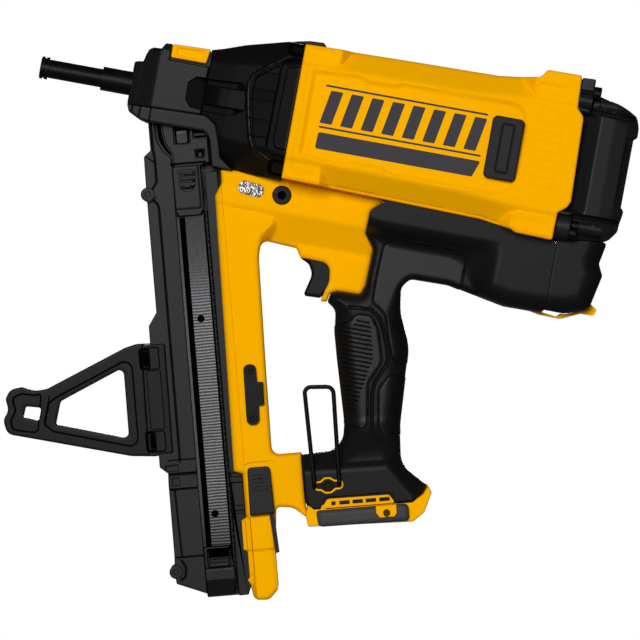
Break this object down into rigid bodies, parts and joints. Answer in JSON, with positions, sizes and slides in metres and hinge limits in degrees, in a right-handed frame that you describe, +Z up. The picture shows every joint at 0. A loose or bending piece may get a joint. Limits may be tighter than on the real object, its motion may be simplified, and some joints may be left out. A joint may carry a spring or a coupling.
{
  "type": "cordless pin nailer",
  "caption": "Battery-driven nailer without its pack: yellow barrel and arm, black nose, raked magazine with a clip-on stand, trigger grip, belt hook and battery foot.",
  "frame": {"origin": "centre of the nose tube's tip, on the axis that the driver moves along", "axes": "+X from the muzzle to the rear of the tool, +Y to the tool's right-hand side, +Z up"},
  "size_m": [0.3734, 0.0984, 0.3607],
  "materials": {
    "yellow_plastic": "fine-textured moulded nylon",
    "black_plastic": "fine-textured glass-filled nylon",
    "grey_black_plastic": "fine-textured moulded nylon",
    "black_rubber": "soft-touch overmould",
    "pad_rubber": "moulded rubber",
    "cast_metal_black": "black-coated magnesium casting",
    "blackened_steel": "black oxide",
    "bright_steel": "ground and oiled",
    "aluminium": "die cast",
    "copper": "wound wire and contacts",
    "foil": "printed foil",
    "indicator_black": "smoked lens",
    "board_green": "circuit board",
    "wire_black": "wire insulation"
  },
  "bodies": {
    "tool": {"barrel_housing": "yellow_plastic", "rear_cap": "grey_black_plastic", "cap_bolts": "blackened_steel", "nose_cone": "black_plastic", "nose_block": "cast_metal_black", "contact_trip_spring": "bright_steel", "magazine_bracket": "cast_metal_black", "magazine_body": "black_plastic", "magazine_liners": "bright_steel", "magazine_rear_rail": "black_plastic", "magazine_end_block": "black_plastic", "date_badge": "foil", "pivot_bolt": "blackened_steel", "body_screws": "blackened_steel", "arm_plate": "blackened_steel", "trigger_spring": "bright_steel", "trigger_switch": "black_plastic", "foot_base": "yellow_plastic", "terminal_block": "black_plastic", "terminal_blades": "copper", "foot_bar": "grey_black_plastic", "mode_surround": "yellow_plastic", "indicator_panel": "yellow_plastic", "indicator_windows": "indicator_black", "belt_hook": "blackened_steel", "hook_screw": "blackened_steel", "control_board": "board_green", "motor_wires": "wire_black", "rear_lower_cover": "black_plastic", "lever_hinge": "black_plastic", "engine_frame": "aluminium", "flywheel_bearings": "bright_steel", "motor_stator": "copper", "guide_rods": "bright_steel", "return_springs": "bright_steel", "driver_bumper": "black_rubber", "pivot_pins": "bright_steel", "solenoid": "aluminium", "side_pad_left": "pad_rubber", "side_pad_right": "pad_rubber", "body_left": "yellow_plastic", "body_right": "yellow_plastic", "handle_left": "grey_black_plastic", "handle_right": "grey_black_plastic", "grip_front": "black_rubber", "grip_rear": "black_rubber"},
    "contact_trip": {"contact_trip": "blackened_steel"},
    "release_button": {"release_button": "yellow_plastic"},
    "trigger": {"trigger": "black_plastic"},
    "driver": {"driver_blade": "bright_steel"},
    "rotor": {"flywheel": "bright_steel"},
    "pinch_arm": {"activation_arm": "bright_steel"},
    "pinch_roller": {"pinch_roller": "bright_steel"},
    "plunger": {"solenoid_plunger": "bright_steel"},
    "pusher": {"pusher": "black_plastic", "pusher_spring": "bright_steel"},
    "magazine_latch": {"magazine_latch": "black_plastic"},
    "support_stand": {"support_stand": "black_plastic"},
    "stall_lever": {"stall_lever": "yellow_plastic"},
    "mode_button": {"mode_button": "black_rubber"}
  },
  "joints": [
    {"name": "contact_trip_press", "type": "slide", "parent": "tool", "child": "contact_trip", "axis": [1, 0, 0], "range_m": [0, 0.01], "stiffness_N_per_m": 800, "springref_m": -0.005},
    {"name": "release_button_press", "type": "slide", "parent": "tool", "child": "release_button", "axis": [0, 0, -1], "range_m": [0, 0.0015], "stiffness_N_per_m": 2000, "springref_m": -0.001},
    {"name": "trigger_pull", "type": "hinge", "parent": "tool", "child": "trigger", "pos_m": [0.192, 0, -0.086], "axis": [0, -1, 0], "range_deg": [0, 9], "stiffness_Nm_per_rad": 1.5, "springref_deg": -5.73},
    {"name": "driver_stroke", "type": "slide", "parent": "tool", "child": "driver", "axis": [-1, 0, 0], "range_m": [0, 0.068], "stiffness_N_per_m": 150, "springref_m": -0.02},
    {"name": "rotor_spin", "type": "hinge", "parent": "tool", "child": "rotor", "pos_m": [0.205, 0, -0.0203], "axis": [0, 1, 0], "continuous": true},
    {"name": "pinch_arm_press", "type": "hinge", "parent": "tool", "child": "pinch_arm", "pos_m": [0.246, 0, 0.024], "axis": [0, -1, 0], "range_deg": [0, 0.8], "stiffness_Nm_per_rad": 20, "springref_deg": -1.15},
    {"name": "pinch_roller_spin", "type": "hinge", "parent": "pinch_arm", "child": "pinch_roller", "pos_m": [0.205, 0, 0.0111], "axis": [0, 1, 0], "continuous": true},
    {"name": "solenoid_plunge", "type": "slide", "parent": "tool", "child": "plunger", "axis": [0, 0, -1], "range_m": [0, 0.00085]},
    {"name": "pusher_slide", "type": "slide", "parent": "tool", "child": "pusher", "axis": [0.2588, 0, -0.9659], "range_m": [0, 0.2], "stiffness_N_per_m": 40, "springref_m": -0.1},
    {"name": "magazine_latch_slide", "type": "slide", "parent": "tool", "child": "magazine_latch", "axis": [0.2588, 0, -0.9659], "range_m": [0, 0.006], "stiffness_N_per_m": 500, "springref_m": -0.003},
    {"name": "support_stand_slide", "type": "slide", "parent": "tool", "child": "support_stand", "axis": [0.2588, 0, -0.9659], "range_m": [-0.0075, 0.006]},
    {"name": "stall_lever_swing", "type": "hinge", "parent": "tool", "child": "stall_lever", "pos_m": [0.326, 0, -0.0932], "axis": [0, 1, 0], "range_deg": [0, 20], "stiffness_Nm_per_rad": 0.4, "springref_deg": -11.46},
    {"name": "mode_button_press", "type": "slide", "parent": "tool", "child": "mode_button", "axis": [0, 1, 0], "range_m": [0, 0.0008], "stiffness_N_per_m": 1000, "springref_m": -0.001}
  ],
  "couplings": [
    {"joint": "solenoid_plunge", "follows": "pinch_arm_press", "m_per_rad": 0.0583}
  ]
}
